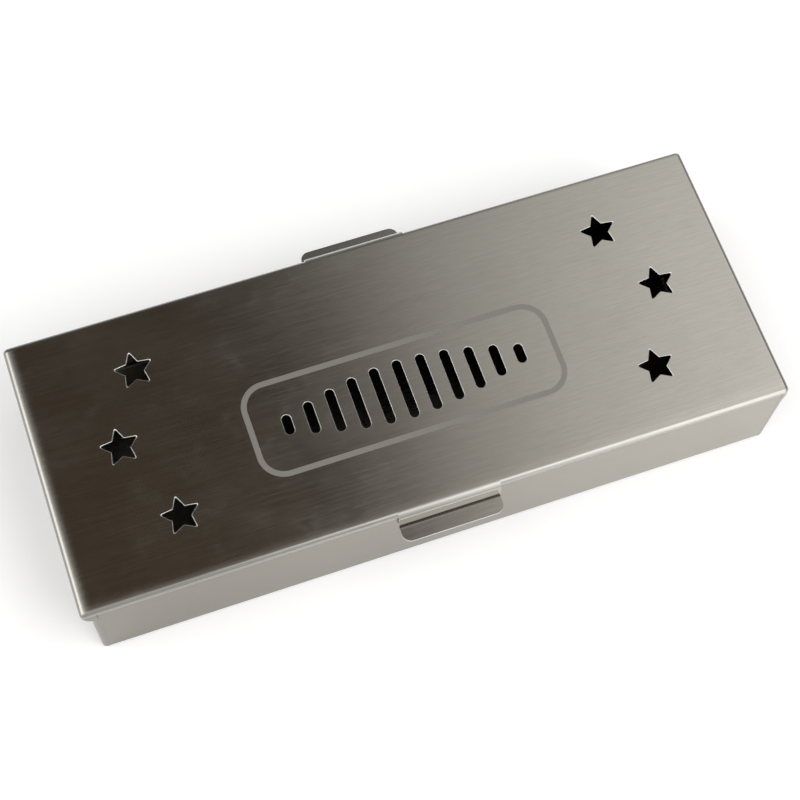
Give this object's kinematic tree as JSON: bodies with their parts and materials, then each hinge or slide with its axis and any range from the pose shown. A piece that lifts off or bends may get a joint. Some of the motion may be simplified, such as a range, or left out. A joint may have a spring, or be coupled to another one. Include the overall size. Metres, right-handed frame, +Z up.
{
  "type": "grill smoker box",
  "caption": "Flat rectangular tray for wood chips in brushed stainless sheet, with a lift-off lid that has star and slot vents and a finger tab at the front and the back.",
  "frame": {"origin": "on the ground, under the middle of the lid", "axes": "+X along the box to its right end, +Y to its back, +Z up"},
  "size_m": [0.24, 0.1084, 0.04],
  "materials": {
    "tray_steel": "fine brushed, grain along the length, satin",
    "lid_steel": "brushed, grain along the length, satin, with a matt etched band round the slots"
  },
  "bodies": {
    "tray": {"tray_trough": "tray_steel", "left_end_wall": "tray_steel", "right_end_wall": "tray_steel"},
    "lid": {"lid": "lid_steel"}
  },
  "joints": [
    {"name": "lid_lift", "type": "slide", "parent": "tray", "child": "lid", "axis": [0, 0, 1], "range_m": [0, 0.08]}
  ]
}
